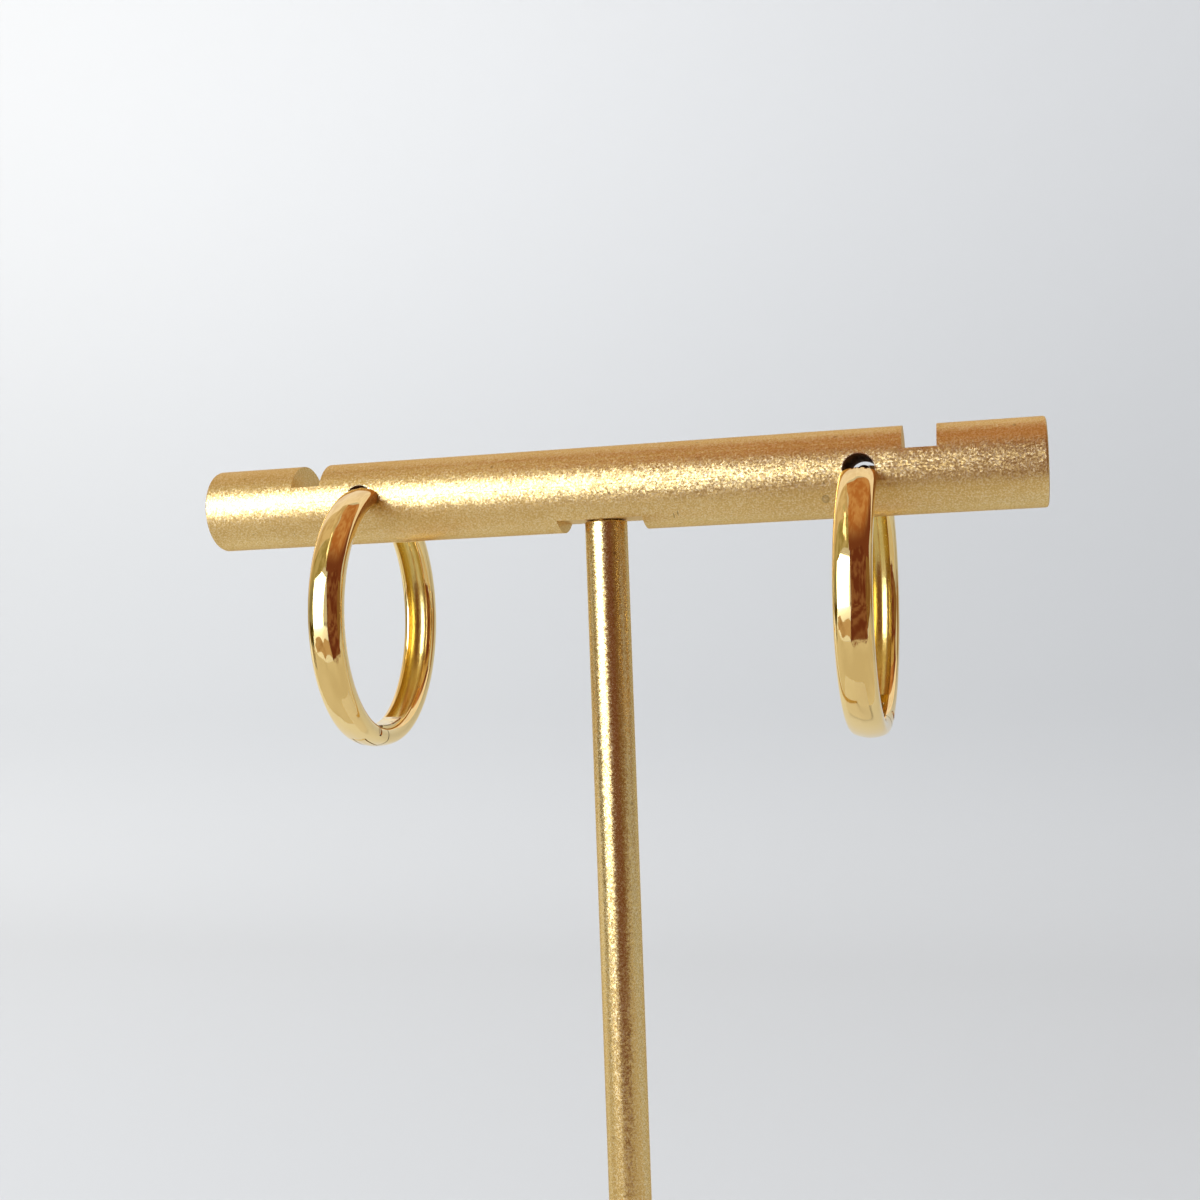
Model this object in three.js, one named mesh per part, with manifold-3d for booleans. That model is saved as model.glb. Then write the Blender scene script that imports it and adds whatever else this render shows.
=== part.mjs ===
// A pair of hinged hoop earrings hung on a small T-bar display stand.
// Millimetres, +Z up, crossbar along X, viewer on the -Y side.
// The origin is the centre of the base's underside.
import * as THREE from 'three';
import { mergeVertices } from 'three/addons/utils/BufferGeometryUtils.js';
import Module from 'manifold-3d';

const wasm = await Module();
wasm.setup();

const degree = Math.PI / 180;

// Stand
const standHeight = 120;
const barLength = 80;
const barRadius = 4;
const barEndChamfer = 0.25;
const slotWidth = 3;
const slotDepth = 2.4;
const slotInset = 9.25; // from the bar's end to the slot's outer wall
const leftHoleX = -23.5; // ear holes through the bar, as drilled on the real stand
const rightHoleX = 24;
const earHoleRadius = 1.4;
const flatLength = 8.2; // milled flat under the bar, where the upright meets it
const flatDepth = 1;
const uprightRadius = 2;
const spigotRadius = 1.4; // turned down at both ends of the upright
const spigotLength = 3;
const baseWidth = 80; // a rounded square plate
const baseCorner = 9;
const baseThickness = 5;
const baseChamfer = 0.6;
const fitClearance = 0.05; // round a spigot in its socket
const seatClearance = 0.1; // between faces that meet

// Band of a hoop, in section across its width
const hoopRadius = 12.75; // outside
const bandThickness = 1.8;
const bandWidth = 3.35;
const domeHeight = 1; // from the widest line of the section out to the crown
const domePower = 3.1; // superellipse exponent: a flat crown with round shoulders
const rimHalfWidth = 1; // flat inner rim
const channelWidth = 2; // hollow back
const channelWall = 0.6; // left between the hollow back and the crown

// Angles round a hoop run from its top over the front: 90 is nearest the viewer, 180 the bottom
const catchEndAngle = 15.5;
const postEndAngle = -28.5;
const channelEndMargin = 17.5; // solid metal round the foot of the ear post
const blockEndAngle = 199; // solid hinge block, from the hinge to here
const blockRise = 0.22; // the block stands this far inside the band
const catchChannelEndAngle = 147;

// Hinge
const pinAngle = 161.2;
const pinDepth = 1.1; // pin axis below the outside of the band
const pinRadius = 0.4;
const pinInset = 0.06; // pin ends below the band's sides
const pinClearance = 0.05;
const earRadius = 2.05; // ears of the catch half, round the pin
const earClearance = 0.12;
const knuckleRadius = 1.3; // round end of the tongue
const knuckleClearance = 0.15;
const tongueWidth = 1.1;
const hingeSlotWidth = 1.3; // between the ears, round the tongue
const tongueReach = 10; // degrees that the tongue's bar runs past the pin
const slotReach = 20; // degrees that the slot for it is cut into the block

// Ear post
const postRadius = 0.5;
const postDepth = 1.3; // post axis below the outside of the band
const postOverlap = 4.5; // degrees that the post's tip reaches into the catch half
const holeSeatGap = 0.15; // between the post and the edge of its hole
const barGap = 0.25; // between the catch half's end and the bar

// How each hoop hangs: aside is the post's place in its hole, turned is which half faces the viewer
const hangs = [
  { name: 'left', holeX: leftHoleX, aside: 0.3, yaw: 1.1, tilt: 0.66, turned: 0 },
  { name: 'right', holeX: rightHoleX, aside: 0.24, yaw: -2, tilt: 0.94, turned: 180 },
];

// Facets
const barSegments = 48;
const ringSegments = 60;
const holeSegments = 24;
const pinSegments = 20;
const wireSegments = 12;
const wireSteps = 120;
const tipRings = 8;
const cornerSegments = 10;
const domeSteps = 10;
const rimSteps = 3;

const satinGold = () => new THREE.MeshStandardMaterial({ color: 0xc69b5a, roughness: 0.45, metalness: 1 });
const paleLacquer = () => new THREE.MeshStandardMaterial({ color: 0xe4e0d8, roughness: 0.4, metalness: 0 });
const polishedGold = () => new THREE.MeshStandardMaterial({ color: 0xd9b56a, roughness: 0.12, metalness: 1 });
const pinGold = () => new THREE.MeshStandardMaterial({ color: 0xb8935a, roughness: 0.25, metalness: 1 });

const barAxisHeight = standHeight - barRadius;
const bandMidRadius = hoopRadius - domeHeight;
const innerRadius = hoopRadius - bandThickness;
const channelRadius = hoopRadius - channelWall;
const pinOrbit = hoopRadius - pinDepth;
const postArcRadius = hoopRadius - postDepth;
const pastBand = 2; // how far cutters run past the band

function toSolid(geometry) {
  const bare = geometry.clone();
  bare.deleteAttribute('normal');
  bare.deleteAttribute('uv');
  const merged = mergeVertices(bare, 1e-4);
  return new wasm.Manifold(new wasm.Mesh({
    numProp: 3,
    vertProperties: new Float32Array(merged.attributes.position.array),
    triVerts: new Uint32Array(merged.index.array),
  }));
}

function toGeometry(solid) {
  const mesh = solid.getMesh();
  const geometry = new THREE.BufferGeometry();
  geometry.setAttribute('position', new THREE.BufferAttribute(new Float32Array(mesh.vertProperties), 3));
  geometry.setIndex(new THREE.BufferAttribute(new Uint32Array(mesh.triVerts), 1));
  geometry.computeVertexNormals();
  return geometry;
}

function named(name, geometry, material) {
  const mesh = new THREE.Mesh(geometry, material);
  mesh.name = name;
  return mesh;
}

const points = (pairs) => pairs.map(([x, y]) => new THREE.Vector2(x, y));

// A turned piece about X
function turnedAlongX(pairs, segments) {
  return new THREE.LatheGeometry(points(pairs), segments).rotateZ(-Math.PI / 2);
}

// A turned piece about Z
function turnedAlongZ(pairs, segments) {
  return new THREE.LatheGeometry(points(pairs), segments).rotateX(Math.PI / 2);
}

function box(width, depth, height, x, y, z) {
  return toSolid(new THREE.BoxGeometry(width, depth, height).translate(x, y, z));
}

function crossbar() {
  const half = barLength / 2;
  const rod = turnedAlongX([
    [0, -half],
    [barRadius - barEndChamfer, -half],
    [barRadius, -half + barEndChamfer],
    [barRadius, half - barEndChamfer],
    [barRadius - barEndChamfer, half],
    [0, half],
  ], barSegments);
  let bar = toSolid(rod);
  const across = 2 * barRadius + pastBand;
  const slotHeight = slotDepth + pastBand;
  for (const side of [-1, 1]) {
    const slotX = side * (half - slotInset - slotWidth / 2);
    bar = bar.subtract(box(slotWidth, across, slotHeight, slotX, 0, barRadius - slotDepth + slotHeight / 2));
  }
  for (const holeX of [leftHoleX, rightHoleX]) {
    const hole = new THREE.CylinderGeometry(earHoleRadius, earHoleRadius, across, holeSegments);
    bar = bar.subtract(toSolid(hole.translate(holeX, 0, 0)));
  }
  const flatHeight = flatDepth + pastBand;
  bar = bar.subtract(box(flatLength, across, flatHeight, 0, 0, flatDepth - barRadius - flatHeight / 2));
  const socketDepth = spigotLength + seatClearance + pastBand;
  const socketRadius = spigotRadius + fitClearance;
  const socket = new THREE.CylinderGeometry(socketRadius, socketRadius, socketDepth, holeSegments);
  socket.rotateX(Math.PI / 2);
  socket.translate(0, 0, flatDepth - barRadius - pastBand + socketDepth / 2);
  bar = bar.subtract(toSolid(socket));
  const mesh = named('crossbar', toGeometry(bar), satinGold());
  mesh.position.z = barAxisHeight;
  return mesh;
}

function upright() {
  const bottom = baseThickness + seatClearance;
  const top = barAxisHeight - barRadius + flatDepth - seatClearance;
  return named('upright', turnedAlongZ([
    [0, top + spigotLength],
    [spigotRadius, top + spigotLength],
    [spigotRadius, top],
    [uprightRadius, top],
    [uprightRadius, bottom],
    [spigotRadius, bottom],
    [spigotRadius, bottom - spigotLength],
    [0, bottom - spigotLength],
  ].map(([radius, height]) => [radius, -height]), barSegments).rotateX(Math.PI), satinGold());
}

function roundedSquare(half, corner) {
  const shape = new THREE.Shape();
  const inner = half - corner;
  shape.absarc(inner, inner, corner, 0, Math.PI / 2);
  shape.absarc(-inner, inner, corner, Math.PI / 2, Math.PI);
  shape.absarc(-inner, -inner, corner, Math.PI, 1.5 * Math.PI);
  shape.absarc(inner, -inner, corner, 1.5 * Math.PI, 2 * Math.PI);
  shape.closePath();
  return shape;
}

function base() {
  const slab = new THREE.ExtrudeGeometry(roundedSquare(baseWidth / 2, baseCorner), {
    depth: baseThickness - 2 * baseChamfer,
    bevelThickness: baseChamfer,
    bevelSize: baseChamfer,
    bevelOffset: -baseChamfer,
    bevelSegments: 1,
    curveSegments: cornerSegments,
  });
  slab.translate(0, 0, baseChamfer);
  const socketRadius = spigotRadius + fitClearance;
  const socketDepth = spigotLength + seatClearance + pastBand;
  const socket = new THREE.CylinderGeometry(socketRadius, socketRadius, socketDepth, holeSegments);
  socket.rotateX(Math.PI / 2);
  socket.translate(0, 0, baseThickness + pastBand - socketDepth / 2);
  return named('base', toGeometry(toSolid(slab).subtract(toSolid(socket))), paleLacquer());
}

// Section of the band: a superelliptic dome outside, rounded rims inside
function bandSection() {
  const half = bandWidth / 2;
  const section = [];
  for (let step = 0; step <= domeSteps; step += 1) {
    const angle = Math.PI * step / domeSteps;
    const across = Math.sign(Math.cos(angle)) * Math.abs(Math.cos(angle)) ** (2 / domePower);
    const rise = Math.abs(Math.sin(angle)) ** (2 / domePower);
    section.push([bandMidRadius + domeHeight * rise, half * across]);
  }
  const rimDrop = bandMidRadius - innerRadius;
  for (let step = 1; step <= rimSteps; step += 1) {
    const angle = Math.PI / 2 * step / rimSteps;
    const across = rimHalfWidth + (half - rimHalfWidth) * Math.cos(angle);
    section.push([bandMidRadius - rimDrop * Math.sin(angle), -across]);
  }
  const mirrored = section.slice(1 + domeSteps).reverse().map(([radius, across]) => [radius, -across]);
  return [...section, ...mirrored, section[0]].reverse();
}

// A point in a hoop's plane: forward of its centre and above it
function onHoop(radius, angle) {
  return new THREE.Vector2(radius * Math.sin(angle * degree), radius * Math.cos(angle * degree));
}

// A shape drawn in a hoop's plane (forward, up), given a width along the hoop's axis
function plate(shape, width, segments) {
  const options = { depth: width, bevelEnabled: false, curveSegments: segments };
  const geometry = new THREE.ExtrudeGeometry(shape, options);
  geometry.translate(0, 0, -width / 2);
  const basis = new THREE.Matrix4().makeBasis(
    new THREE.Vector3(0, -1, 0),
    new THREE.Vector3(0, 0, 1),
    new THREE.Vector3(-1, 0, 0),
  );
  return toSolid(geometry.applyMatrix4(basis));
}

// Part of a flat ring between two radii and two angles
function sector(inside, outside, from, to, width) {
  const shape = new THREE.Shape();
  const steps = Math.max(2, Math.round(Math.abs(to - from) / (360 / ringSegments)));
  for (let step = 0; step <= steps; step += 1) {
    const corner = onHoop(outside, from + (to - from) * step / steps);
    if (step === 0) shape.moveTo(corner.x, corner.y);
    else shape.lineTo(corner.x, corner.y);
  }
  for (let step = steps; step >= 0; step -= 1) {
    const corner = onHoop(inside, from + (to - from) * step / steps);
    shape.lineTo(corner.x, corner.y);
  }
  shape.closePath();
  return plate(shape, width, 1);
}

// A round disc about the hinge pin
function pinDisc(radius, width, segments) {
  const centre = onHoop(pinOrbit, pinAngle);
  const disc = new THREE.CylinderGeometry(radius, radius, width, segments).rotateZ(Math.PI / 2);
  return toSolid(disc.translate(0, -centre.x, centre.y));
}

const ring = toSolid(turnedAlongX(bandSection(), ringSegments));
const wide = bandWidth + pastBand;
const beyond = hoopRadius + pastBand;
const within = innerRadius - pastBand;

// Post half: from the hinge over the rear to the ear post's foot
function postHalf() {
  const endAngle = postEndAngle + 360;
  let half = ring.intersect(sector(within, beyond, pinAngle, endAngle, wide));
  const channelEnd = endAngle - channelEndMargin;
  half = half.subtract(sector(within, channelRadius, blockEndAngle, channelEnd, channelWidth));
  const block = sector(innerRadius - blockRise, bandMidRadius, pinAngle, blockEndAngle, 2 * rimHalfWidth);
  half = half.add(block);
  half = half.subtract(pinDisc(earRadius + earClearance, wide, ringSegments));
  const tongueFrom = pinAngle - tongueReach;
  const raised = sector(innerRadius - blockRise, bandMidRadius, tongueFrom, blockEndAngle, tongueWidth);
  const section = ring.add(raised);
  const bar = sector(within, beyond, pinAngle, blockEndAngle, tongueWidth);
  const knuckle = pinDisc(knuckleRadius, tongueWidth, ringSegments / 2);
  half = half.add(section.intersect(bar.add(knuckle)));
  half = half.subtract(pinDisc(pinRadius + pinClearance, wide, pinSegments));
  return half.add(earPost());
}

// Ear post: a curved wire from its foot through the bar into the catch half
function earPost() {
  const tipAngle = catchEndAngle + postOverlap;
  const section = [];
  for (let step = 0; step <= wireSegments; step += 1) {
    const angle = 2 * Math.PI * step / wireSegments;
    section.push([postArcRadius + postRadius * Math.cos(angle), postRadius * Math.sin(angle)]);
  }
  const wire = toSolid(turnedAlongX(section, wireSteps));
  const arc = sector(within, beyond, postEndAngle - channelEndMargin / 2, tipAngle, wide);
  const tip = onHoop(postArcRadius, tipAngle);
  const dome = new THREE.SphereGeometry(postRadius, wireSegments, tipRings).translate(0, -tip.x, tip.y);
  return wire.intersect(arc).add(toSolid(dome));
}

// Catch half: from its end near the bar over the front to the hinge ears
function catchHalf() {
  const arm = sector(within, beyond, 0, pinAngle, wide);
  const ears = pinDisc(earRadius, wide, ringSegments);
  let half = ring.intersect(arm.add(ears));
  const reach = hoopRadius * Math.sin(catchEndAngle * degree);
  half = half.subtract(box(wide, 2 * reach, beyond, 0, 0, beyond / 2));
  half = half.subtract(sector(within, channelRadius, 0, catchChannelEndAngle, channelWidth));
  const slotRadius = knuckleRadius + knuckleClearance;
  const slot = sector(within, beyond, pinAngle, pinAngle + slotReach, hingeSlotWidth);
  half = half.subtract(slot.add(pinDisc(slotRadius, hingeSlotWidth, ringSegments / 2)));
  return half.subtract(pinDisc(pinRadius + pinClearance, wide, pinSegments));
}

function hingePin(name) {
  const length = bandWidth - 2 * pinInset;
  const rod = new THREE.CylinderGeometry(pinRadius, pinRadius, length, pinSegments).rotateZ(Math.PI / 2);
  const pin = named(name, rod, pinGold());
  const centre = onHoop(pinOrbit, pinAngle);
  pin.position.set(0, -centre.x, centre.y);
  return pin;
}

const postHalfGeometry = toGeometry(postHalf());
const catchHalfGeometry = toGeometry(catchHalf());

// A hoop on its bar: the catch half's end stands just clear of the bar, the post rests in its hole
function hungHoop({ name, holeX, aside, yaw, tilt, turned }) {
  const forward = barRadius + barGap - hoopRadius * Math.sin(catchEndAngle * degree);
  const mouth = Math.sqrt(barRadius ** 2 - earHoleRadius ** 2) + forward;
  const sag = Math.sqrt((earHoleRadius - postRadius - holeSeatGap) ** 2 - aside ** 2);
  const drop = Math.sqrt(postArcRadius ** 2 - mouth ** 2) + sag;

  const hoop = new THREE.Group();
  hoop.position.set(0, -forward, -drop);
  hoop.add(named(`${name}_post_half`, postHalfGeometry.clone(), polishedGold()));
  hoop.add(named(`${name}_catch_half`, catchHalfGeometry.clone(), polishedGold()));
  hoop.add(hingePin(`${name}_hinge_pin`));

  const facing = new THREE.Group();
  facing.rotation.z = turned * degree;
  facing.add(hoop);

  const hang = new THREE.Group();
  hang.position.set(holeX + aside, 0, barAxisHeight);
  hang.rotation.set(0, tilt * degree, yaw * degree, 'ZYX');
  hang.add(facing);
  return hang;
}

const part = new THREE.Group();
part.add(crossbar(), upright(), base(), ...hangs.map(hungHoop));

export default part;
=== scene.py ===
import math
import bmesh
import bpy
from mathutils import Matrix, Vector


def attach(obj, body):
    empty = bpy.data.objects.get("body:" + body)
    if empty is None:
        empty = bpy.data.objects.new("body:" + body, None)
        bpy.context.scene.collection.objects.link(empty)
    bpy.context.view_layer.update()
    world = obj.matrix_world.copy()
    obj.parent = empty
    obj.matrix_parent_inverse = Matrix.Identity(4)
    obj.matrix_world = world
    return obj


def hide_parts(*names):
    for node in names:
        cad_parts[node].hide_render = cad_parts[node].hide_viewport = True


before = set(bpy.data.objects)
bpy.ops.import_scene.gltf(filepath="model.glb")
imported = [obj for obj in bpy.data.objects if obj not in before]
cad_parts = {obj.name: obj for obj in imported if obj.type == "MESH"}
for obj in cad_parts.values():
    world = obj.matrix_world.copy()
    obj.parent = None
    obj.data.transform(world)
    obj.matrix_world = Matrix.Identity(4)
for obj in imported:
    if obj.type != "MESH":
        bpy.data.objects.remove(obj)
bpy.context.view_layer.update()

print("stage: frame loaded", len(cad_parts), "nodes")

# Pieces are modelled in millimetres about a handy origin, then placed in the frame in metres
millimetre = 0.001
fullTurn = 2 * math.pi
smoothAngle = math.radians(32)


# Camera and studio

cameraSetup = {
    "place": (0.03403, -0.13103, 0.10288),
    "yaw": 14.917,
    "pitch": 1.106,
    "roll": 2.045,
    "focal": 43.0,
    "sensor": 36.0,
}


def makeCamera(setup):
    lens = bpy.data.cameras.new("photoCamera")
    lens.sensor_width = setup["sensor"]
    lens.lens = setup["focal"]
    lens.clip_start = 0.005
    lens.clip_end = 20
    camera = bpy.data.objects.new("photoCamera", lens)
    bpy.context.scene.collection.objects.link(camera)
    turn = Matrix.Rotation(math.radians(setup["yaw"]), 4, "Z")
    turn = turn @ Matrix.Rotation(math.radians(setup["pitch"]), 4, "X")
    turn = turn @ Matrix.Rotation(math.radians(setup["roll"]), 4, "Y")
    turn = turn @ Matrix.Rotation(math.radians(90), 4, "X")
    camera.matrix_world = Matrix.Translation(setup["place"]) @ turn
    bpy.context.scene.camera = camera
    return camera


makeCamera(cameraSetup)
bpy.context.scene.view_settings.view_transform = "Standard"
print("stage: camera set")


# Node helpers

class Link:
    # A socket that can be used in an expression
    def __init__(self, tree, socket):
        self.tree = tree
        self.socket = socket

    def add(self, kind, settings, inputs, output=0):
        node = self.tree.nodes.new(kind)
        for name, setting in settings.items():
            setattr(node, name, setting)
        for name, given in inputs.items():
            if isinstance(given, Link):
                self.tree.links.new(given.socket, node.inputs[name])
            else:
                node.inputs[name].default_value = given
        return Link(self.tree, node.outputs[output])

    def math(self, operation, *others):
        given = dict(enumerate((self,) + others))
        return self.add("ShaderNodeMath", {"operation": operation}, given)

    def __add__(self, other):
        return self.math("ADD", other)

    __radd__ = __add__

    def __sub__(self, other):
        return self.math("SUBTRACT", other)

    def __rsub__(self, other):
        return (self * -1.0) + other

    def __mul__(self, other):
        return self.math("MULTIPLY", other)

    __rmul__ = __mul__


def newMaterial(name):
    material = bpy.data.materials.new(name)
    material.use_nodes = True
    tree = material.node_tree
    shader = tree.nodes["Principled BSDF"]
    place = Link(tree, tree.nodes.new("ShaderNodeTexCoord").outputs["Object"])
    return material, shader, place


def feed(shader, name, value):
    if isinstance(value, Link):
        value.tree.links.new(value.socket, shader.inputs[name])
    else:
        shader.inputs[name].default_value = value


def noise(place, scale, detail=2.0, rough=0.5):
    inputs = {"Vector": place, "Scale": scale, "Detail": detail, "Roughness": rough}
    return place.add("ShaderNodeTexNoise", {}, inputs)


def ease(value, start, end, low=0.0, high=1.0):
    # A soft step from low to high while value goes from start to end
    inputs = {"Value": value, "From Min": start, "From Max": end, "To Min": low, "To Max": high}
    settings = {"interpolation_type": "SMOOTHSTEP", "clamp": True}
    return value.add("ShaderNodeMapRange", settings, inputs)


def blendColors(mask, first, second):
    inputs = {"Factor": mask, "A": first, "B": second}
    return mask.add("ShaderNodeMix", {"data_type": "RGBA"}, inputs, output=2)


def relief(height, strength, distance, under=None):
    inputs = {"Height": height, "Strength": strength, "Distance": distance}
    if under is not None:
        inputs["Normal"] = under
    return height.add("ShaderNodeBump", {}, inputs)


def axes(place):
    tree = place.tree
    node = tree.nodes.new("ShaderNodeSeparateXYZ")
    tree.links.new(place.socket, node.inputs[0])
    return [Link(tree, node.outputs[index]) for index in range(3)]


# Modelling helpers

def clearSelection():
    if bpy.context.object is not None and bpy.context.object.mode != "OBJECT":
        bpy.ops.object.mode_set(mode="OBJECT")
    bpy.ops.object.select_all(action="DESELECT")


def makeActive(piece):
    clearSelection()
    piece.select_set(True)
    bpy.context.view_layer.objects.active = piece


def startEditing(piece, kind):
    makeActive(piece)
    bpy.ops.object.mode_set(mode="EDIT")
    bpy.ops.mesh.select_mode(type=kind)
    bpy.ops.mesh.select_all(action="DESELECT")


def stopEditing():
    bpy.ops.object.mode_set(mode="OBJECT")


def pickFaces(piece, wanted):
    sculpt = bmesh.from_edit_mesh(piece.data)
    for face in sculpt.faces:
        face.select_set(wanted(face))
    bmesh.update_edit_mesh(piece.data)


def pickEdges(piece, wanted):
    sculpt = bmesh.from_edit_mesh(piece.data)
    for edge in sculpt.edges:
        edge.select_set(wanted(edge))
    bmesh.update_edit_mesh(piece.data)


def edgeMiddle(edge):
    return (edge.verts[0].co + edge.verts[1].co) / 2


def addRod(name, radius, length, sides, turn=(0, 0, 0), at=(0, 0, 0)):
    clearSelection()
    bpy.ops.mesh.primitive_cylinder_add(
        vertices=sides, radius=radius, depth=length, rotation=turn, location=at)
    rod = bpy.context.object
    rod.name = name
    bpy.ops.object.transform_apply(location=True, rotation=True, scale=True)
    return rod


def addBlock(name, size, at):
    clearSelection()
    bpy.ops.mesh.primitive_cube_add(size=1, location=at)
    block = bpy.context.object
    block.name = name
    block.scale = size
    bpy.ops.object.transform_apply(location=True, rotation=True, scale=True)
    return block


def combine(piece, tool, operation):
    makeActive(piece)
    modifier = piece.modifiers.new("combine", "BOOLEAN")
    modifier.operation = operation
    modifier.solver = "MANIFOLD"
    modifier.object = tool
    bpy.ops.object.modifier_apply(modifier="combine")
    bpy.data.objects.remove(tool, do_unlink=True)
    return piece


def cut(piece, tool):
    return combine(piece, tool, "DIFFERENCE")


def weld(piece, tool):
    return combine(piece, tool, "UNION")


def keepWithin(piece, tool):
    return combine(piece, tool, "INTERSECT")


def roundEdges(piece, width, segments=2):
    makeActive(piece)
    bevel = piece.modifiers.new("round", "BEVEL")
    bevel.width = width
    bevel.segments = segments
    bevel.limit_method = "ANGLE"
    bevel.angle_limit = math.radians(38)
    bevel.use_clamp_overlap = True
    bpy.ops.object.modifier_apply(modifier="round")


def soften(piece, width, segments=2):
    # Rounds every hard edge a little, then keeps the big faces' shading even
    roundEdges(piece, width, segments)
    bpy.ops.object.shade_smooth_by_angle(angle=smoothAngle)
    even = piece.modifiers.new("even", "WEIGHTED_NORMAL")
    even.keep_sharp = True
    bpy.ops.object.modifier_apply(modifier="even")


def paint(piece, *materials):
    # Each face keeps its number in the list of materials, which clearing the list would forget
    numbers = [face.material_index for face in piece.data.polygons]
    piece.data.materials.clear()
    for material in materials:
        piece.data.materials.append(material)
    piece.data.polygons.foreach_set("material_index", numbers)


def putInFrame(piece, matrix, name, body, node):
    piece.data.transform(matrix @ Matrix.Scale(millimetre, 4))
    piece.name = name
    piece.data.name = name
    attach(piece, body)
    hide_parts(node)
    return piece


def copyOf(piece):
    twin = piece.copy()
    twin.data = piece.data.copy()
    bpy.context.scene.collection.objects.link(twin)
    return twin


# Stand

bar = {
    "radius": 4.0,
    "height": 116.0,      # of its axis
    "leftHole": -23.5,
    "rightHole": 24.0,
    "holeRadius": 1.4,
}

standFinish = {
    "gold": (0.86, 0.625, 0.265, 1),
    "deepGold": (0.79, 0.545, 0.21, 1),
    # Polished rims of the ear holes: real lower roughness, and a paler gold as a painted highlight
    "rimPolishAndHighlight": (0.95, 0.80, 0.52, 1),
    # Painted shade: the inside of each ear hole is dark brown
    "paintedBoreShade": (0.17, 0.065, 0.03, 1),
    "speckBrown": (0.30, 0.19, 0.08, 1),
    "ringBrown": (0.40, 0.26, 0.11, 1),
    "nickBrown": (0.28, 0.17, 0.07, 1),
    "paleGrain": (0.97, 0.84, 0.58, 1),
    "darkGrain": (0.58, 0.38, 0.13, 1),
    "rough": 0.38,
    "edgeTint": (0.80, 0.66, 0.44, 1),   # how the metal reflects when seen edge on
    "clouds": 90.0,       # soft patches per metre
    "specks": 1400.0,
    "grain": 6400.0,      # blasted grains per metre
    "grainTilt": 0.17,
    "grainDepth": 0.000006,
    "rimWidth": 0.00012,
    "boreBottom": 0.0011,     # how far the shiny bottom of an ear hole is below its middle
    "ringSpot": (0.0210, 0.11357),
    "ringSize": 0.00034,
    "nicks": ((0.0071, 0.1129), (0.0075, 0.1131)),
    "nickSize": 0.00028,
}


def facets(place, scale, tilt):
    # Each blasted grain leans its own way
    inputs = {"Vector": place, "Scale": scale}
    tint = place.add("ShaderNodeTexVoronoi", {"feature": "F1"}, inputs, output=1)
    lean = tint.add("ShaderNodeVectorMath", {"operation": "SUBTRACT"}, {0: tint, 1: (0.5, 0.5, 0.5)})
    lean = lean.add("ShaderNodeVectorMath", {"operation": "SCALE"}, {0: lean, "Scale": tilt})
    facing = place.add("ShaderNodeNewGeometry", {}, {}, output=1)
    both = lean.add("ShaderNodeVectorMath", {"operation": "ADD"}, {0: facing, 1: lean})
    return both.add("ShaderNodeVectorMath", {"operation": "NORMALIZE"}, {0: both})


def distanceFrom(x, z, middleX, middleZ):
    across = x - middleX
    up = z - middleZ
    return (across * across + up * up).math("SQRT")


rodFinish = dict(standFinish, rough=0.27, grainTilt=0.11, gold=(0.82, 0.60, 0.24, 1))


def makeSandblastedGold(name, finish):
    material, shader, place = newMaterial(name)
    x, y, z = axes(place)
    middle = bar["height"] * millimetre
    fromLeft = distanceFrom(x, z, bar["leftHole"] * millimetre, middle)
    fromRight = distanceFrom(x, z, bar["rightHole"] * millimetre, middle)
    pastHole = fromLeft.math("MINIMUM", fromRight) - bar["holeRadius"] * millimetre
    rim = 1 - ease(pastHole, finish["rimWidth"] * 0.33, finish["rimWidth"] * 1.33)
    bore = 1 - ease(pastHole, finish["rimWidth"] * 0.04, finish["rimWidth"] * 0.25)
    boreFloor = 1 - ease(z, middle - finish["boreBottom"], middle - finish["boreBottom"] + 0.0005)
    cloud = noise(place, finish["clouds"], 3.0)
    grain = noise(place, finish["grain"], 2.0, 0.7)
    specks = ease(noise(place, finish["specks"], 1.0), 0.74, 0.80)
    color = blendColors(ease(cloud, 0.3, 0.7), finish["gold"], finish["deepGold"])
    color = blendColors(ease(grain, 0.38, 0.5, 0.45, 0.0), color, finish["darkGrain"])
    color = blendColors(ease(grain, 0.5, 0.62, 0.0, 0.6), color, finish["paleGrain"])
    color = blendColors(specks * 0.5, color, finish["speckBrown"])
    front = 1 - ease(y, -0.001, 0.0)
    fromSpot = distanceFrom(x, z, *finish["ringSpot"])
    ring = ease(fromSpot, finish["ringSize"] * 0.3, finish["ringSize"] * 0.8, 0.55, 1.0)
    ring = ring * (1 - ease(fromSpot, finish["ringSize"] * 0.9, finish["ringSize"] * 1.15))
    color = blendColors(ring * front * 0.6, color, finish["ringBrown"])
    for across, up in finish["nicks"]:
        fromNick = distanceFrom(x * 5.0, z, across * 5.0, up)  # a nick is five times as tall as wide
        nick = 1 - ease(fromNick, finish["nickSize"] * 0.6, finish["nickSize"])
        color = blendColors(nick * front * 0.7, color, finish["nickBrown"])
    # Painted highlight: the polished rims of the ear holes get a paler gold that stands in for light caught
    # on a rounded edge
    color = blendColors(rim * (1 - bore), color, finish["rimPolishAndHighlight"])
    # Painted shade: the bore of each ear hole is dark brown and barely metallic
    color = blendColors(bore, color, finish["paintedBoreShade"])
    rough = finish["rough"] + (grain - 0.5) * 0.2 + (cloud - 0.5) * 0.06
    rough = rough * (1 - rim * 0.45) + bore * (0.6 - boreFloor * 0.35)
    feed(shader, "Base Color", color)
    feed(shader, "Metallic", 1 - bore * 0.9)
    feed(shader, "Specular Tint", finish["edgeTint"])
    feed(shader, "Roughness", rough)
    leaning = facets(place, finish["grain"], finish["grainTilt"])
    feed(shader, "Normal", relief(grain, 0.6, finish["grainDepth"], leaning))
    return material


sandblastedGold = makeSandblastedGold("sandblastedGold", standFinish)
sandblastedRod = makeSandblastedGold("sandblastedRod", rodFinish)

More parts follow.
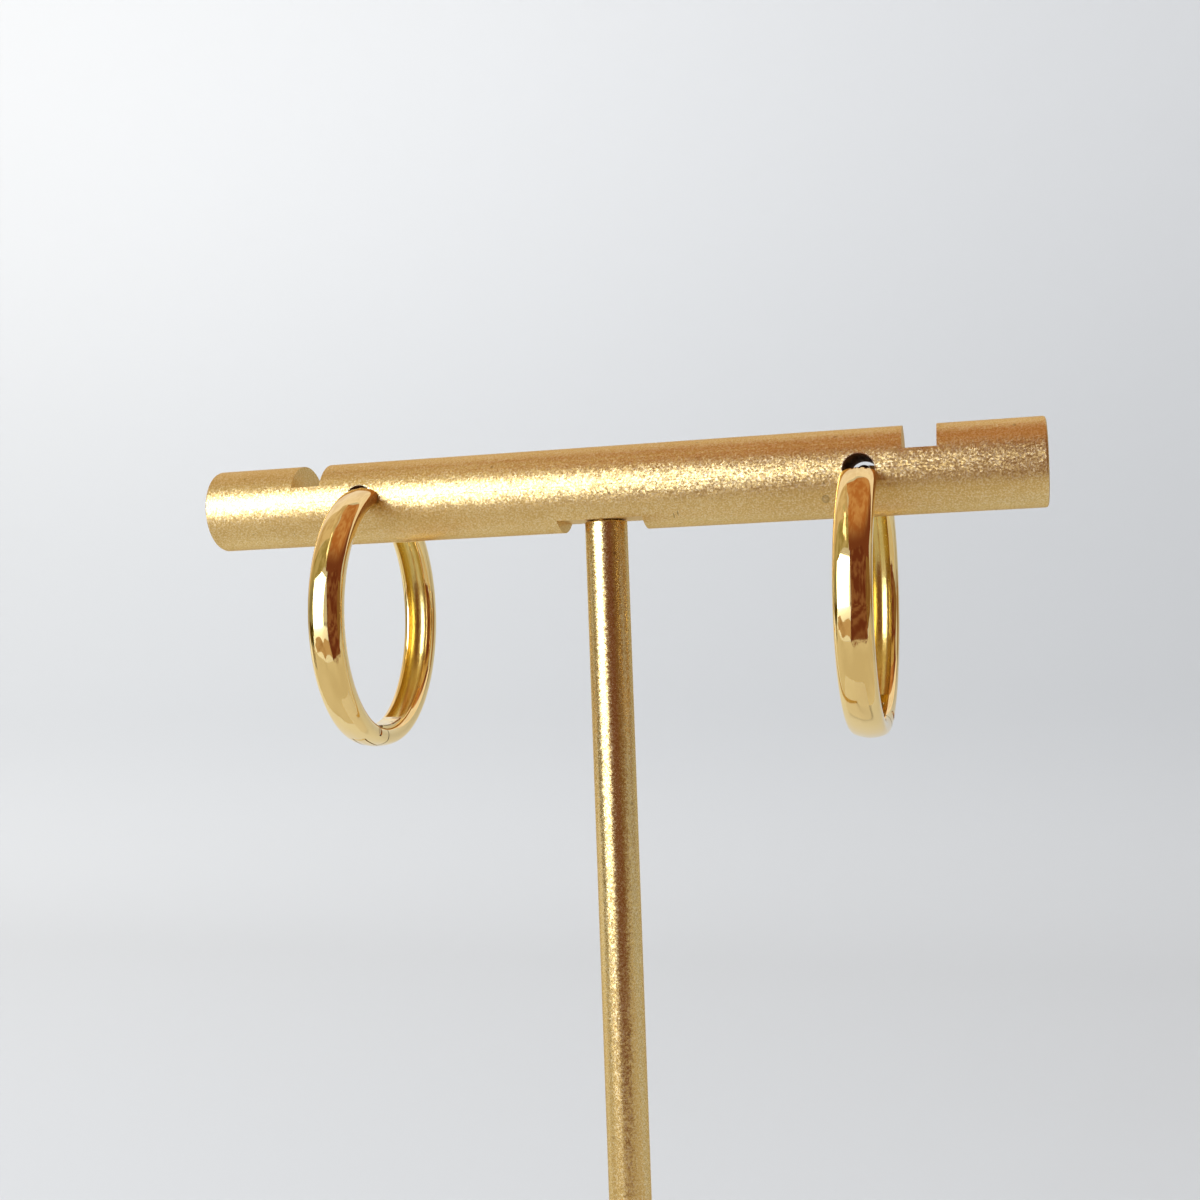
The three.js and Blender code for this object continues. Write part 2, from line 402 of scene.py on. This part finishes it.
crossbar = {
    "length": 80.0,
    "endChamfer": 0.25,
    "sides": 192,
    "slotWidth": 3.0,
    "slotDepth": 2.4,
    "slotMiddle": 29.25,
    "holeSides": 96,
    "flatLength": 8.2,
    "flatDepth": 1.0,
    "socketRadius": 1.45,
    "socketDepth": 3.1,
    "edge": 0.07,
}


def makeCrossbar(size):
    quarter = math.radians(90)
    radius = bar["radius"]
    piece = addRod("crossbarPiece", radius, size["length"], size["sides"], (0, quarter, 0))
    roundEdges(piece, size["endChamfer"], 2)
    across = 2 * radius + 4  # tools reach past the bar on both sides
    for side in (-1, 1):
        slotHeight = size["slotDepth"] + 2
        middle = radius - size["slotDepth"] + slotHeight / 2
        at = (side * size["slotMiddle"], 0, middle)
        cut(piece, addBlock("slot", (size["slotWidth"], across, slotHeight), at))
    for hole in (bar["leftHole"], bar["rightHole"]):
        tool = addRod("earHole", bar["holeRadius"], across, size["holeSides"], (quarter, 0, 0), (hole, 0, 0))
        cut(piece, tool)
    flatHeight = size["flatDepth"] + 2
    at = (0, 0, size["flatDepth"] - radius - flatHeight / 2)
    cut(piece, addBlock("flat", (size["flatLength"], across, flatHeight), at))
    at = (0, 0, size["flatDepth"] - radius + size["socketDepth"] / 2 - 0.5)
    cut(piece, addRod("socket", size["socketRadius"], size["socketDepth"] + 1, 64, (0, 0, 0), at))
    soften(piece, size["edge"])
    paint(piece, sandblastedGold)
    lift = Matrix.Translation((0, 0, bar["height"] * millimetre))
    return putInFrame(piece, lift, "satinCrossbar", "stand", "crossbar")


upright = {
    "radius": 2.0,
    "bottom": 5.1,
    "top": 112.9,
    "spigotRadius": 1.4,
    "spigotLength": 3.0,
    "sides": 128,
    "edge": 0.12,
}


def makeUpright(size):
    length = size["top"] - size["bottom"]
    middle = (size["top"] + size["bottom"]) / 2
    rod = addRod("uprightPiece", size["radius"], length, size["sides"], at=(0, 0, middle))
    startEditing(rod, "FACE")
    for end in (-1, 1):
        pickFaces(rod, lambda face: face.normal.z * end > 0.9)
        bpy.ops.mesh.inset(thickness=size["radius"] - size["spigotRadius"])
        bpy.ops.mesh.extrude_region_move(
            TRANSFORM_OT_translate={"value": (0, 0, end * size["spigotLength"])})
        bpy.ops.mesh.select_all(action="DESELECT")
    stopEditing()
    soften(rod, size["edge"])
    paint(rod, sandblastedRod)
    return putInFrame(rod, Matrix(), "satinUpright", "stand", "upright")


base = {
    "width": 80.0,
    "corner": 9.0,
    "cornerSegments": 24,
    "thickness": 5.0,
    "edge": 0.6,
    "socketEdge": 0.06,
    "socketRadius": 1.45,
    "socketDepth": 3.1,
    "lacquer": (0.62, 0.60, 0.56, 1),
    "lacquerShade": (0.58, 0.555, 0.51, 1),
    "dust": (0.5, 0.46, 0.4, 1),
    "rough": 0.34,
    "coat": 0.25,
    "clouds": 40.0,          # soft patches per metre
    "orangePeel": 900.0,     # the lacquer's fine swell, per metre
    "specks": 2600.0,
}


def makePaleLacquer(finish):
    material, shader, place = newMaterial("paleLacquer")
    cloud = noise(place, finish["clouds"], 2.0)
    peel = noise(place, finish["orangePeel"], 2.0)
    dust = ease(noise(place, finish["specks"], 1.0), 0.72, 0.78)
    color = blendColors(cloud, finish["lacquer"], finish["lacquerShade"])
    feed(shader, "Base Color", blendColors(dust * 0.25, color, finish["dust"]))
    feed(shader, "Roughness", finish["rough"] + (cloud - 0.5) * 0.08 + dust * 0.1)
    feed(shader, "Coat Weight", finish["coat"])
    feed(shader, "Normal", relief(peel, 0.12, 0.00003))
    return material


def makeBase(size):
    plate = addBlock("basePiece", (size["width"], size["width"], size["thickness"]),
                     (0, 0, size["thickness"] / 2))
    startEditing(plate, "EDGE")
    pickEdges(plate, lambda edge: edgeMiddle(edge).xy.length > size["width"] * 0.6)
    bpy.ops.mesh.bevel(offset=size["corner"], segments=size["cornerSegments"], affect="EDGES")
    stopEditing()
    roundEdges(plate, size["edge"], 5)
    at = (0, 0, size["thickness"] - size["socketDepth"] / 2 + 0.5)
    cut(plate, addRod("socket", size["socketRadius"], size["socketDepth"] + 1, 64, (0, 0, 0), at))
    soften(plate, size["socketEdge"])
    paint(plate, makePaleLacquer(size))
    return putInFrame(plate, Matrix(), "paleBase", "stand", "base")


makeCrossbar(crossbar)
makeUpright(upright)
makeBase(base)
print("stage: stand made")


# Hoops: X is the hoop's axis, and angles run from the top over the front

band = {
    "outside": 12.75,
    "middle": 11.75,       # radius of the widest line
    "inside": 10.95,
    "halfWidth": 1.675,
    "rimHalfWidth": 1.0,
    "domePower": 3.1,
    "keel": 0.105,         # slope of the crown's two faces, which meet in a soft ridge
    "keelRound": 0.12,
    "channelHalfWidth": 1.0,
    "channelFloor": 12.15,
    "channelRound": 0.95,
    "toolInside": 9.0,     # cutting tools reach from well inside the band
    "toolOutside": 15.0,   # to well outside it
    "sectionPoints": 76,
    "stepsPerTurn": 240,
    "edge": 0.05,
}

hinge = {
    "angle": 161.2,
    "orbit": 11.65,
    "pinRadius": 0.4,
    "pinLength": 3.23,
    "pinRound": 0.12,
    "holeRadius": 0.45,
    "earRadius": 2.05,
    "earGap": 0.14,
    "knuckleRadius": 1.3,
    "knuckleGap": 0.15,
    "tongueWidth": 1.1,
    "slotHalfWidth": 0.65,
    "blockEnd": 199.0,
    "blockInside": 10.73,
}

halves = {
    "catchEnd": 15.5,
    "catchChannelEnd": 147.0,
    "postEnd": 331.5,
    "postChannelEnd": 314.0,
    "wireRadius": 0.5,
    "wireOrbit": 11.45,
    "wireFoot": 322.75,
    "wireTip": 380.0,
    "wireSides": 32,
    "wireRound": 0.4,
}

polish = {
    "gold": (1.0, 0.76, 0.34, 1),
    "goldShade": (0.98, 0.72, 0.31, 1),
    "rough": 0.055,
    "clouds": 220.0,       # soft patches per metre
    "swell": 420.0,
    "scuffs": 2600.0,
}

casting = {
    "gold": (0.88, 0.70, 0.27, 1),
    "goldShade": (0.76, 0.58, 0.19, 1),
    "rough": 0.25,
    "dents": 1500.0,
    "fine": 6000.0,
}

pinFinish = {
    "gold": (0.80, 0.57, 0.26, 1),
    "goldShade": (0.66, 0.45, 0.20, 1),
    "rough": 0.2,
    "turning": 5000.0,
}

# Painted shade for the hinge's gap: dark brown colours for the faces that meet there, with a mottle
jointShadeFinish = {
    "gold": (0.10, 0.05, 0.02, 1),
    "goldShade": (0.18, 0.09, 0.035, 1),
    "rough": 0.5,
    "shadeMottle": 3000.0,
}


def makePolishedGold(finish):
    material, shader, place = newMaterial("polishedGold")
    cloud = noise(place, finish["clouds"], 2.0)
    scuff = noise(place, finish["scuffs"], 3.0, 0.6)
    feed(shader, "Base Color", blendColors(cloud, finish["gold"], finish["goldShade"]))
    feed(shader, "Metallic", 1.0)
    feed(shader, "Roughness", finish["rough"] + (scuff - 0.5) * 0.03)
    swell = relief(noise(place, finish["swell"], 1.0), 0.16, 0.00012)
    feed(shader, "Normal", relief(scuff, 0.03, 0.00001, swell))
    return material


def makeCastGold(finish):
    # The hollow backs are left as they were cast
    material, shader, place = newMaterial("castGold")
    dents = noise(place, finish["dents"], 2.0)
    fine = noise(place, finish["fine"], 2.0)
    feed(shader, "Base Color", blendColors(dents, finish["gold"], finish["goldShade"]))
    feed(shader, "Metallic", 1.0)
    feed(shader, "Roughness", finish["rough"] + (fine - 0.5) * 0.1)
    feed(shader, "Normal", relief(dents, 0.35, 0.00006, relief(fine, 0.2, 0.00001)))
    return material


def makePinGold(finish):
    material, shader, place = newMaterial("pinGold")
    turned = noise(place, finish["turning"], 2.0)
    feed(shader, "Base Color", blendColors(turned, finish["gold"], finish["goldShade"]))
    feed(shader, "Metallic", 1.0)
    feed(shader, "Roughness", finish["rough"] + (turned - 0.5) * 0.12)
    feed(shader, "Normal", relief(turned, 0.2, 0.000008))
    return material


def makePaintedJointShade(finish):
    # Painted shade: near-black metal on the faces that meet inside the hinge, standing in for the shadow in
    # the gap
    material, shader, place = newMaterial("paintedJointShade")
    shadeMottle = noise(place, finish["shadeMottle"], 2.0)
    feed(shader, "Base Color", blendColors(shadeMottle, finish["gold"], finish["goldShade"]))
    feed(shader, "Metallic", 1.0)
    feed(shader, "Roughness", finish["rough"] + (shadeMottle - 0.5) * 0.2)
    return material


polishedGold = makePolishedGold(polish)
castGold = makeCastGold(casting)
pinGold = makePinGold(pinFinish)
paintedJointShade = makePaintedJointShade(jointShadeFinish)


def onHoop(radius, angle, across=0.0):
    turn = math.radians(angle)
    return Vector((across, -radius * math.sin(turn), radius * math.cos(turn)))


def bandOutline(size):
    # The outline of the band's section: a dome with a soft ridge outside, rounded rims inside
    half = size["halfWidth"]
    dome = size["outside"] - size["middle"]
    drop = size["middle"] - size["inside"]
    fine = []
    for step in range(721):
        angle = math.pi * step / 720
        across = math.copysign(abs(math.cos(angle)) ** (2 / size["domePower"]), math.cos(angle))
        rise = math.sin(angle) ** (2 / size["domePower"])
        ridge = math.hypot(half * across, size["keelRound"]) - size["keelRound"]
        fine.append((half * across, size["middle"] + (dome - size["keel"] * ridge) * rise))
    for step in range(1, 181):
        angle = math.pi / 2 * step / 180
        across = size["rimHalfWidth"] + (half - size["rimHalfWidth"]) * math.cos(angle)
        fine.append((-across, size["middle"] - drop * math.sin(angle)))
    for step in range(180, 0, -1):
        angle = math.pi / 2 * step / 180
        across = size["rimHalfWidth"] + (half - size["rimHalfWidth"]) * math.cos(angle)
        fine.append((across, size["middle"] - drop * math.sin(angle)))
    return evenlySpaced(fine, size["sectionPoints"])


def evenlySpaced(outline, count):
    closed = outline + [outline[0]]
    lengths = [0.0]
    for first, second in zip(closed, closed[1:]):
        lengths.append(lengths[-1] + math.dist(first, second))
    spaced = []
    leg = 0
    for index in range(count):
        goal = lengths[-1] * index / count
        while lengths[leg + 1] < goal:
            leg += 1
        share = (goal - lengths[leg]) / max(1e-9, lengths[leg + 1] - lengths[leg])
        first, second = closed[leg], closed[leg + 1]
        spaced.append([first[axis] + (second[axis] - first[axis]) * share for axis in (0, 1)])
    return spaced


def spinOutline(name, outline, start, end, stepsPerTurn):
    # A filled outline (across, radius) swept round the hoop's axis from start to end
    clearSelection()
    bpy.ops.mesh.primitive_circle_add(vertices=len(outline), radius=1, fill_type="NGON")
    piece = bpy.context.object
    piece.name = name
    for vertex, (across, radius) in zip(piece.data.vertices, outline):
        vertex.co = onHoop(radius, start, across)
    startEditing(piece, "FACE")
    bpy.ops.mesh.select_all(action="SELECT")
    steps = max(2, round(stepsPerTurn * abs(end - start) / 360))
    sweep = -math.radians(end - start)  # a positive spin runs over the rear
    bpy.ops.mesh.spin(steps=steps, dupli=False, angle=sweep, center=(0, 0, 0), axis=(1, 0, 0))
    bpy.ops.mesh.select_all(action="SELECT")
    bpy.ops.mesh.remove_doubles(threshold=0.0005)
    bpy.ops.mesh.normals_make_consistent(inside=False)
    stopEditing()
    return piece


def sector(inside, outside, start, end, halfWidth):
    outline = [(-halfWidth, inside), (-halfWidth, outside), (halfWidth, outside), (halfWidth, inside)]
    return spinOutline("sector", outline, start, end, band["stepsPerTurn"])


def toolSector(start, end, halfWidth):
    return sector(band["toolInside"], band["toolOutside"], start, end, halfWidth)


def channelTool(start, end):
    # The hollow back, with its floor's corners rounded
    half = band["channelHalfWidth"]
    curve = band["channelRound"]
    floor = band["channelFloor"]
    outline = [(-half, band["toolInside"])]
    for step in range(7):
        angle = math.pi / 2 * step / 6
        outline.append((-half + curve * (1 - math.cos(angle)), floor - curve * (1 - math.sin(angle))))
    outline += [(-across, radius) for across, radius in reversed(outline)]
    return spinOutline("channel", outline, start, end, band["stepsPerTurn"])


def pinDisc(radius, width, sides=96):
    at = onHoop(hinge["orbit"], hinge["angle"])
    return addRod("disc", radius, width, sides, (0, math.radians(90), 0), at)


def slotFaces(piece, jointRadius):
    # The hollow back gets the cast finish, the hinge's meeting faces the painted shade, the rest the polish
    pivot = onHoop(hinge["orbit"], hinge["angle"])
    for face in piece.data.polygons:
        reach = math.hypot(face.center.y, face.center.z)
        inChannel = abs(face.center.x) < band["channelHalfWidth"] + 0.01
        inChannel = inChannel and band["inside"] + 0.05 < reach < band["channelFloor"] + 0.02
        fromPin = Vector((0, face.center.y, face.center.z)) - pivot
        meets = abs(fromPin.length - jointRadius) < 0.03
        meets = meets and abs(face.normal.dot(fromPin.normalized())) > 0.9
        if meets:
            face.material_index = 2
        elif inChannel:
            face.material_index = 1
        else:
            face.material_index = 0


def makePostHalf():
    outline = bandOutline(band)
    steps = band["stepsPerTurn"]
    half = spinOutline("postHalf", outline, hinge["angle"], halves["postEnd"], steps)
    cut(half, channelTool(hinge["blockEnd"], halves["postChannelEnd"]))
    rim = band["rimHalfWidth"]
    weld(half, sector(hinge["blockInside"], band["middle"], hinge["angle"], hinge["blockEnd"], rim))
    cut(half, pinDisc(hinge["earRadius"] + hinge["earGap"], 8))
    slim = hinge["tongueWidth"] / 2
    tongue = spinOutline("tongue", outline, hinge["angle"] - 12, hinge["blockEnd"] - 1, steps)
    start, end = hinge["angle"] - 10, hinge["blockEnd"] - 1
    weld(tongue, sector(hinge["blockInside"], band["middle"], start, end, slim))
    shape = toolSector(hinge["angle"], hinge["blockEnd"] - 2, slim)
    weld(shape, pinDisc(hinge["knuckleRadius"], hinge["tongueWidth"]))
    weld(half, keepWithin(tongue, shape))
    cut(half, pinDisc(hinge["holeRadius"], 8, 48))
    soften(half, band["edge"])
    slotFaces(half, hinge["earRadius"] + hinge["earGap"])
    return half


def makeEarPost():
    # A curved wire with a rounded tip; its foot is inside the post half
    outline = []
    for step in range(halves["wireSides"]):
        angle = fullTurn * step / halves["wireSides"]
        across = halves["wireRadius"] * math.sin(angle)
        outline.append((across, halves["wireOrbit"] + halves["wireRadius"] * math.cos(angle)))
    wire = spinOutline("wire", outline, halves["wireFoot"], halves["wireTip"], band["stepsPerTurn"])
    roundEdges(wire, halves["wireRound"], 6)
    bpy.ops.object.shade_smooth_by_angle(angle=smoothAngle)
    return wire


def makeCatchHalf():
    outline = bandOutline(band)
    steps = band["stepsPerTurn"]
    half = spinOutline("catchHalf", outline, 2, hinge["angle"] + 14, steps)
    waste = toolSector(hinge["angle"], hinge["angle"] + 18, 3)
    cut(waste, pinDisc(hinge["earRadius"], 8))
    cut(half, waste)
    reach = band["outside"] * math.sin(math.radians(halves["catchEnd"]))
    cut(half, addBlock("endCut", (6, 2 * reach, 8), (0, 0, 12)))
    cut(half, channelTool(1, halves["catchChannelEnd"]))
    slim = hinge["slotHalfWidth"]
    slot = toolSector(hinge["angle"], hinge["angle"] + 20, slim)
    weld(slot, pinDisc(hinge["knuckleRadius"] + hinge["knuckleGap"], 2 * slim))
    cut(half, slot)
    cut(half, pinDisc(hinge["holeRadius"], 8, 48))
    soften(half, band["edge"])
    slotFaces(half, hinge["earRadius"])
    return half


def makeHingePin():
    at = onHoop(hinge["orbit"], hinge["angle"])
    pin = addRod("pin", hinge["pinRadius"], hinge["pinLength"], 48, (0, math.radians(90), 0), at)
    roundEdges(pin, hinge["pinRound"], 4)
    bpy.ops.object.shade_smooth_by_angle(angle=smoothAngle)
    return pin


hangs = {
    "left": {"hole": bar["leftHole"], "aside": 0.3, "yaw": 1.1, "tilt": 0.66, "turned": 0},
    "right": {"hole": bar["rightHole"], "aside": 0.24, "yaw": -2.0, "tilt": 0.94, "turned": 180},
}

hanging = {
    "barGap": 0.25,
    "seatGap": 0.15,
}


def hoopPlace(hang):
    # Where a hoop hangs: its catch half just clear of the bar, its post resting in the hole
    reach = band["outside"] * math.sin(math.radians(halves["catchEnd"]))
    forward = bar["radius"] + hanging["barGap"] - reach
    mouth = math.sqrt(bar["radius"] ** 2 - bar["holeRadius"] ** 2) + forward
    play = bar["holeRadius"] - halves["wireRadius"] - hanging["seatGap"]
    sag = math.sqrt(play ** 2 - hang["aside"] ** 2)
    drop = math.sqrt(halves["wireOrbit"] ** 2 - mouth ** 2) + sag
    spot = Vector((hang["hole"] + hang["aside"], 0, bar["height"])) * millimetre
    matrix = Matrix.Translation(spot)
    matrix = matrix @ Matrix.Rotation(math.radians(hang["yaw"]), 4, "Z")
    matrix = matrix @ Matrix.Rotation(math.radians(hang["tilt"]), 4, "Y")
    matrix = matrix @ Matrix.Rotation(math.radians(hang["turned"]), 4, "Z")
    return matrix @ Matrix.Translation(Vector((0, -forward, -drop)) * millimetre)


postHalf = makePostHalf()
print("stage: post half made", len(postHalf.data.polygons), "faces")
catchHalf = makeCatchHalf()
print("stage: catch half made", len(catchHalf.data.polygons), "faces")
earPost = makeEarPost()
hingePin = makeHingePin()

for side, hang in hangs.items():
    where = hoopPlace(hang)
    half = copyOf(postHalf)
    paint(half, polishedGold, castGold, paintedJointShade)
    putInFrame(half, where, side + "PostHalf", "stand", side + "_post_half")
    wire = copyOf(earPost)
    wire.data.transform(where @ Matrix.Scale(millimetre, 4))
    wire.name = side + "EarPost"
    paint(wire, polishedGold)
    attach(wire, "stand")
    half = copyOf(catchHalf)
    paint(half, polishedGold, castGold, paintedJointShade)
    putInFrame(half, where, side + "CatchHalf", side + "_catch", side + "_catch_half")
    pin = copyOf(hingePin)
    paint(pin, pinGold)
    putInFrame(pin, where, side + "HingePin", side + "_catch", side + "_hinge_pin")
for spare in (postHalf, catchHalf, earPost, hingePin):
    bpy.data.objects.remove(spare, do_unlink=True)
print("stage: hoops hung")


# Studio: a pale floor that sweeps up into a backdrop, soft light from the front left, and cards for
# the metal to reflect

studio = {
    "floorFront": -1.4,
    "floorBack": 0.75,
    "wallTop": 1.6,
    "halfWidth": 1.8,
    "sweepRadius": 0.45,
    "floorColor": (0.645, 0.648, 0.65, 1),
    "paintedHorizonShade": (0.555, 0.56, 0.565, 1),
    "wallColor": (0.64, 0.642, 0.645, 1),
    "paperGrain": 900.0,
    "paperRough": 0.9,
    "air": (0.885, 0.885, 0.90, 1),
    "airStrength": 0.66,
}


def makePalePaper(finish):
    # Painted shade: the paper is darkened in a band towards the horizon and lightens again up the wall
    material, shader, place = newMaterial("palePaper")
    grain = noise(place, finish["paperGrain"], 2.0)
    height = axes(place)[2]
    color = blendColors(ease(height, -0.01, 0.07), finish["floorColor"], finish["paintedHorizonShade"])
    color = blendColors(ease(height, 0.1, 0.5), color, finish["wallColor"])
    feed(shader, "Base Color", color)
    feed(shader, "Roughness", finish["paperRough"])
    feed(shader, "Specular IOR Level", 0.1)
    feed(shader, "Normal", relief(grain, 0.05, 0.0002))
    return material


def makeSweep(size):
    clearSelection()
    depth = size["floorBack"] - size["floorFront"]
    middle = (size["floorBack"] + size["floorFront"]) / 2
    bpy.ops.mesh.primitive_plane_add(size=1, location=(0, middle, 0))
    sweep = bpy.context.object
    sweep.name = "paleSweep"
    sweep.scale = (2 * size["halfWidth"], depth, 1)
    bpy.ops.object.transform_apply(location=True, rotation=True, scale=True)
    startEditing(sweep, "EDGE")
    back = size["floorBack"] - 0.001
    pickEdges(sweep, lambda edge: edgeMiddle(edge).y > back)
    bpy.ops.mesh.extrude_region_move(TRANSFORM_OT_translate={"value": (0, 0, size["wallTop"])})
    bpy.ops.mesh.select_all(action="DESELECT")
    pickEdges(sweep, lambda edge: edgeMiddle(edge).y > back and edgeMiddle(edge).z < 0.001)
    bpy.ops.mesh.bevel(offset=size["sweepRadius"], segments=32, affect="EDGES")
    stopEditing()
    bpy.ops.object.shade_smooth()
    paint(sweep, makePalePaper(size))
    return sweep


def makeAir(size):
    world = bpy.data.worlds.new("air")
    bpy.context.scene.world = world
    world.use_nodes = True
    background = world.node_tree.nodes["Background"]
    background.inputs["Color"].default_value = size["air"]
    background.inputs["Strength"].default_value = size["airStrength"]


def direction(aside, pitch):
    # Aside is the angle to the right of the bar's middle plane, pitch runs from the front over the top
    turn = math.radians(aside)
    lift = math.radians(pitch)
    return Vector((math.sin(turn), -math.cos(turn) * math.cos(lift), math.cos(turn) * math.sin(lift)))


middleOfHoops = Vector((0, 0, 0.108))

softboxes = {
    "windowLight": {
        "toward": (-34, 13.5), "distance": 0.8, "size": (0.54, 0.62), "power": 6.0,
        "color": (0.86, 0.955, 1.10), "aim": (0, 0, 0.108), "inGloss": True},
    "wallLight": {
        "toward": (-45, 60), "distance": 1.2, "size": (0.7, 0.7), "power": 12.0,
        "color": (1.0, 0.985, 0.94), "aim": (-0.6, 0.75, 0.62), "inGloss": False},
}

# Cards that only the metal's reflections see: angles aside, pitch angles, colours, how wavy the edges are
cards = {
    "deepBrownCard": {"aside": (-9, 42), "pitch": (-38, 46), "color": (0.13, 0.035, 0.018, 1),
                      "blotch": (0.24, 0.11, 0.06, 1), "wave": 1.6},
    "rightSideCard": {"aside": (40, 88), "pitch": (-30, 60), "color": (0.25, 0.15, 0.06, 1),
                      "blotch": (0.19, 0.10, 0.04, 1), "wave": 1.5},
    "dimLeftCard": {"aside": (-86, -53), "pitch": (-20, 46), "color": (0.28, 0.28, 0.19, 1),
                    "blotch": (0.21, 0.20, 0.12, 1), "wave": 1.5},
    "leftRearCard": {"aside": (-88, -56), "pitch": (140, 200), "color": (0.42, 0.37, 0.29, 1),
                     "blotch": (0.33, 0.28, 0.19, 1), "wave": 1.0},
    "rightRearCard": {"aside": (48, 88), "pitch": (140, 200), "color": (0.26, 0.16, 0.07, 1),
                      "blotch": (0.34, 0.23, 0.12, 1), "wave": 1.0},
    "warmCard": {"aside": (-17, 62), "pitch": (38, 110), "color": (0.42, 0.17, 0.06, 1),
                 "blotch": (0.54, 0.30, 0.15, 1), "wave": 2.4,
                 "fade": (0.66, 0.90), "fadeColor": (0.16, 0.05, 0.025, 1)},
    "oliveCard": {"aside": (-80, -16), "pitch": (40, 74), "color": (0.46, 0.41, 0.25, 1),
                  "blotch": (0.30, 0.26, 0.11, 1), "wave": 2.5},
    "ceilingCard": {"aside": (-80, -16), "pitch": (72, 114), "color": (0.66, 0.56, 0.42, 1),
                    "blotch": (0.52, 0.40, 0.26, 1), "wave": 2.0},
    "highWallCard": {"aside": (-80, 62), "pitch": (110, 152), "color": (0.90, 0.85, 0.87, 1),
                     "blotch": (0.80, 0.72, 0.70, 1), "wave": 2.0},
    "tableEdgeCard": {"aside": (-50, -9), "pitch": (-34, -20), "color": (0.52, 0.38, 0.25, 1),
                      "blotch": (0.38, 0.24, 0.13, 1), "wave": 2.0},
    "floorToneCard": {"aside": (-70, 70), "pitch": (-95, -36), "color": (0.64, 0.60, 0.52, 1),
                      "blotch": (0.57, 0.52, 0.43, 1), "wave": 2.0},
    "leafCard": {"aside": (-84, -56), "pitch": (-62, -9), "color": (0.03, 0.035, 0.006, 1),
                 "blotch": (0.14, 0.08, 0.02, 1), "wave": 3.0},
    "streakCard": {"aside": (-23, -19), "pitch": (46, 84), "color": (2.2, 2.0, 1.5, 1),
                   "blotch": (0.5, 0.45, 0.3, 1), "wave": 1.5},
}


def makeSoftbox(name, setup):
    lamp = bpy.data.lights.new(name, "AREA")
    lamp.shape = "RECTANGLE"
    lamp.size, lamp.size_y = setup["size"]
    lamp.energy = setup["power"]
    lamp.color = setup["color"]
    box = bpy.data.objects.new(name, lamp)
    bpy.context.scene.collection.objects.link(box)
    toward = direction(*setup["toward"])
    box.location = middleOfHoops + toward * setup["distance"]
    box.rotation_euler = (box.location - Vector(setup["aim"])).to_track_quat("Z", "Y").to_euler()
    box.visible_glossy = setup["inGloss"]
    return box


def makeGlow(name, setup):
    # Even light in two blotchy colours; a fade darkens the lower part
    material = bpy.data.materials.new(name)
    material.use_nodes = True
    tree = material.node_tree
    tree.nodes.clear()
    place = Link(tree, tree.nodes.new("ShaderNodeTexCoord").outputs["Object"])
    mottle = ease(noise(place, 7.0, 3.0), 0.4, 0.62)
    color = blendColors(mottle, setup["color"], setup["blotch"])
    if "fade" in setup:
        color = blendColors(ease(axes(place)[2], *setup["fade"]), setup["fadeColor"], color)
    glow = color.add("ShaderNodeEmission", {}, {"Color": color})
    output = tree.nodes.new("ShaderNodeOutputMaterial")
    tree.links.new(glow.socket, output.inputs["Surface"])
    return material


def makeCard(name, setup, distance):
    clearSelection()
    bpy.ops.mesh.primitive_grid_add(x_subdivisions=40, y_subdivisions=40, size=2)
    card = bpy.context.object
    card.name = name
    left, right = setup["aside"]
    low, high = setup["pitch"]
    for vertex in card.data.vertices:
        across = (vertex.co.x + 1) / 2
        up = (vertex.co.y + 1) / 2
        aside = left + (right - left) * across + setup["wave"] * math.sin(up * 9 + left) * (1 - across)
        pitch = low + (high - low) * up + setup["wave"] * math.sin(across * 11 + high)
        toward = direction(aside, pitch)
        reach = distance
        if toward.z < 0:
            reach = min(distance, (middleOfHoops.z - 0.004) / -toward.z)  # stays above the floor
        vertex.co = middleOfHoops + toward * reach
    paint(card, makeGlow(name, setup))
    card.visible_camera = False
    card.visible_diffuse = False
    card.visible_shadow = False
    return card


makeSweep(studio)
makeAir(studio)
for name, setup in softboxes.items():
    makeSoftbox(name, setup)
for index, (name, setup) in enumerate(cards.items()):
    makeCard(name, setup, 0.95 - 0.02 * index)
print("stage: studio lit")
